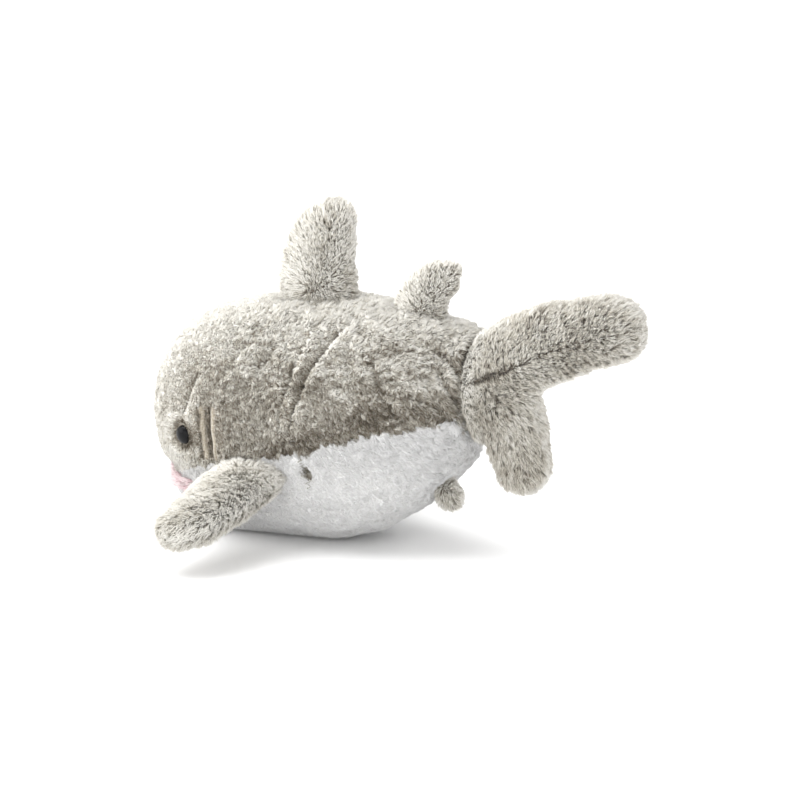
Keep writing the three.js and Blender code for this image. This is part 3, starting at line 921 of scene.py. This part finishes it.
def fin_span(fin):
    """The fin's hinge, its axis, and the direction from the hinge to the fin's tip, square to the axis."""
    hinge = np.array(HINGES[fin]["pos_m"])
    axis = unit(np.array(HINGES[fin]["axis"]))
    out = box_middle(f"{fin}_stuffing") - hinge
    return hinge, axis, unit(out - (out @ axis) * axis)


def fin_skin(fin):
    """The fin's surface, carried on into the body by a copy of the fin shifted inwards."""
    _, _, span = fin_span(fin)
    facts = FINS[fin]
    nodes = [f"{fin}_{side}_panel" for side in facts["sides"]] + [f"{fin}_stuffing"]
    outer, triangles = node_arrays(nodes)
    inner, inner_triangles = node_arrays(nodes, -span * facts["reach"] * MM)
    triangles = np.concatenate([triangles, inner_triangles + len(outer)])
    vertices, faces = soft_surface(np.concatenate([outer, inner]), triangles, FIN_VOXEL, 5)
    lift = 0.5 * waves(vertices, 22 * MM, 7) + 0.3 * waves(vertices, 8 * MM, 8) - FIN_INSET
    return vertices + normals_of(vertices, faces) * (lift * MM)[:, None], faces


def build_fin(fin, skin, body_tree, seed):
    """Two cloth panels, each with its pile, that run on into the fin's root."""
    hinge, axis, span = fin_span(fin)
    facts = FINS[fin]
    vertices, faces = skin
    normals = normals_of(vertices, faces)
    across = np.cross(span, axis)
    middle = vertices[faces].mean(1)
    first = box_middle(f"{fin}_{facts['sides'][0]}_panel")
    on_first = ((middle - hinge) @ across) * ((first - hinge) @ across) > 0
    hidden = hidden_in([body_tree])

    def place(root, normal):
        offset = root - hinge
        flow = unit(offset + span * 10 * MM)
        length = facts["length"] * (0.85 + 0.35 * smoothstep(0, 60 * MM, offset @ span))
        rim = 1 - np.abs(normal @ across)
        # Painted light on faces turned up and a painted back-lit rim at the fin's edges, with some random
        # tone.
        shade = 0.3 * normal[:, 2] + 0.25 * waves(root, 40 * MM, 11) + 0.1 + 1.2 * smoothstep(0.4, 0.95, rim)
        return length, flow, shade, np.ones(len(root))

    for side, chosen in zip(facts["sides"], (on_first, ~on_first)):
        part = faces[chosen]
        cloth_piece = panel(f"{fin}_{side}_cloth", vertices, part, CLOTHS["grey"])
        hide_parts(f"{fin}_{side}_panel")
        pieces = pile(f"{fin}_{side}_pile", vertices, normals, part, LONG, place, hidden, seed)
        for piece in [cloth_piece, *pieces]:
            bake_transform(piece)
        seed += 1


# ---- Eyes, stuffing, label and stitches.
def build_eye(side):
    vertices, triangles = node_arrays([f"{side}_eye"])
    welded = with_modifiers(
        f"{side}_eye_dome",
        mesh_from("eye", vertices, triangles),
        ("WELD", {"merge_threshold": 0.02 * MM}),
        ("SUBSURF", {"levels": 2, "render_levels": 2}),
    )
    made = object_from(f"{side}_eye_dome", welded)
    made.data.polygons.foreach_set("use_smooth", np.ones(len(made.data.polygons), bool))
    made.data.materials.clear()
    made.data.materials.append(EYE_BLACK)
    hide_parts(f"{side}_eye")
    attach(made, "trunk")


def build_filling(node, body, shrink):
    """The fibre filling of one chamber, lumpy and this many millimetres smaller than the chamber's shape."""
    vertices, faces = soft_surface(*node_arrays([node]), FILLING_VOXEL, 4, levels=0)
    lift = 0.7 * waves(vertices, 18 * MM, 15) + 0.4 * waves(vertices, 9 * MM, 16) - shrink
    behind = (vertices[:, 1] - HINGES["tail"]["pos_m"][1]) / MM
    if node == "tail_stuffing":
        lift -= 9 * bump(behind, 0, 24)  # slack where the root bends
    vertices = vertices + normals_of(vertices, faces) * (lift * MM)[:, None]
    if node == "body_stuffing":
        past = np.maximum(behind + 44, 0)
        vertices[:, 1] -= 0.9 * past * MM  # ends ahead of the tail's root
    made = object_from(node.replace("_stuffing", "_filling"), mesh_from(node, vertices, faces))
    made.data.materials.append(CLOTHS["filling"])
    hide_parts(node)
    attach(made, body)


def thread_route(tree):
    """Points of the thread: laced from side to side over the body, down through the closing's middle."""
    low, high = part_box("closing_stitches")
    passes = 14
    points = []
    for k in range(passes + 1):
        share = k / passes
        y = low.y + (high.y - low.y) * (0.25 + 0.5 * share + (0.16 if k % 2 else -0.16))
        z = high.z + (low.z - high.z) * share
        hit, normal, _, _ = tree.ray_cast(Vector((0.3, y, z)), Vector((-1, 0, 0)))
        if hit is not None:
            points.append(hit + normal * 0.5 * MM)
    return points


def build_thread(tree):
    points = thread_route(tree)
    curve = bpy.data.curves.new("thread", "CURVE")
    curve.dimensions = "3D"
    spline = curve.splines.new("POLY")
    spline.points.add(len(points) - 1)
    for point, place in zip(spline.points, points):
        point.co = (*place, 1)
    curve.bevel_depth = 0.55 * MM
    curve.bevel_resolution = 2
    curve.use_fill_caps = True
    route = object_from("thread_route", curve)
    graph = bpy.context.evaluated_depsgraph_get()
    thread = object_from("closing_thread", bpy.data.meshes.new_from_object(route.evaluated_get(graph)))
    bpy.data.objects.remove(route)
    thread.data.materials.clear()
    thread.data.materials.append(CLOTHS["thread"])
    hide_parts("closing_stitches")
    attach(thread, "trunk")


def build_closing(vertices, faces, tree):
    """The hand-sewn closing: a thread laced down into the puckered dimple, and dark pile round it as painted
    shade in the dimple.
    """
    build_thread(tree)
    normals = normals_of(vertices, faces)
    middle = vertices[faces].mean(1)
    spot = along(*CLOSING_DIMPLE)
    near = (np.linalg.norm(middle[:, 1:] - spot[1:], axis=1) < 6.5 * MM) & (middle[:, 0] > 0)
    # Dark grey pile in the white belly: painted shade in the dimple.
    look = dict(FLANK, density=2.6, tone=1.6)

    def place(root, normal):
        flow = unit(spot - root + np.array([0, 0, -2 * MM]))
        level = np.zeros(len(root))
        return level + 3.2, flow, level, level + 1

    for piece in pile("closing_dimple_pile", vertices, normals, faces[near], look, place, seed=95):
        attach(piece, "trunk")


def repaint(node, material):
    """Gives a CAD node that stays as it is its material."""
    mesh = frame["nodes"][node].data
    mesh.materials.clear()
    mesh.materials.append(material)


def paint_nodes():
    for side in SIDES:
        repaint(f"{side}_eye_washer", CLOTHS["washer"])
    repaint("blank_label", CLOTHS["label"])


# ---- Studio.
AIM = Vector((0, CAD_LOW.y + 0.223, 0.1263))
VIEW_WIDTH = 0.682  # metres across the picture at the shark
AZIMUTH, ELEVATION = math.radians(120), math.radians(14.5)
LENS, SENSOR = 300, 36
FLOOR_HALF = 90  # the floor runs on past the picture's edges
# Each soft sun: name, where it stands, its spread in degrees and its strength.
SUNS = [
    ("overhead", (0.1, -0.4, 1.6), 60, 2.8),
    ("front", (0.9, -1.5, 0.7), 50, 1.0),
    ("low", (1.6, 0.1, 0.25), 60, 1.05),
]


def build_floor():
    h = FLOOR_HALF
    corners = np.array([[-h, -h, 0.0], [h, -h, 0.0], [h, h, 0.0], [-h, h, 0.0]])
    floor = object_from("floor", mesh_from("floor", corners, np.array([[0, 1, 2, 3]])))
    floor.data.materials.append(plain("pale_floor", (0.97, 0.97, 0.97), sheen=0.0))


def build_sun(name, place, spread, power):
    data = bpy.data.lights.new(name, "SUN")
    data.angle = math.radians(spread)
    data.energy = power
    sun = object_from(name, data)
    sun.location = place
    sun.rotation_euler = (AIM - Vector(place)).to_track_quat("-Z", "Y").to_euler()


def build_camera():
    data = bpy.data.cameras.new("camera")
    data.sensor_width = SENSOR
    data.lens = LENS
    data.clip_end = 1000
    camera = object_from("camera", data)
    level = math.cos(ELEVATION)
    back = Vector((math.sin(AZIMUTH) * level, -math.cos(AZIMUTH) * level, math.sin(ELEVATION)))
    camera.location = AIM + back * (VIEW_WIDTH * LENS / SENSOR)
    camera.rotation_euler = back.to_track_quat("Z", "Y").to_euler()
    bpy.context.scene.camera = camera


def studio():
    scene = bpy.context.scene
    scene.view_settings.view_transform = "Standard"
    scene.world = bpy.data.worlds.new("studio")
    scene.world.use_nodes = True
    sky = scene.world.node_tree.nodes["Background"]
    sky.inputs["Color"].default_value = (1, 1, 1, 1)
    sky.inputs["Strength"].default_value = 1.0
    build_floor()
    for sun in SUNS:
        build_sun(*sun)
    build_camera()


def build():
    studio()
    skins = {fin: fin_skin(fin) for fin in FINS}
    trees = [tree_of(*skin) for skin in skins.values()]
    body = build_body(trees)
    body_tree = tree_of(*body)
    build_closing(*body, body_tree)
    for k, fin in enumerate(FINS):
        build_fin(fin, skins[fin], body_tree, seed=60 + 4 * k)
    for side in SIDES:
        build_eye(side)
    build_filling("body_stuffing", "trunk", 6.5)
    build_filling("tail_stuffing", "tail", 4.5)
    for fin in FINS:
        build_filling(f"{fin}_stuffing", fin, 1.0)
    paint_nodes()


build()
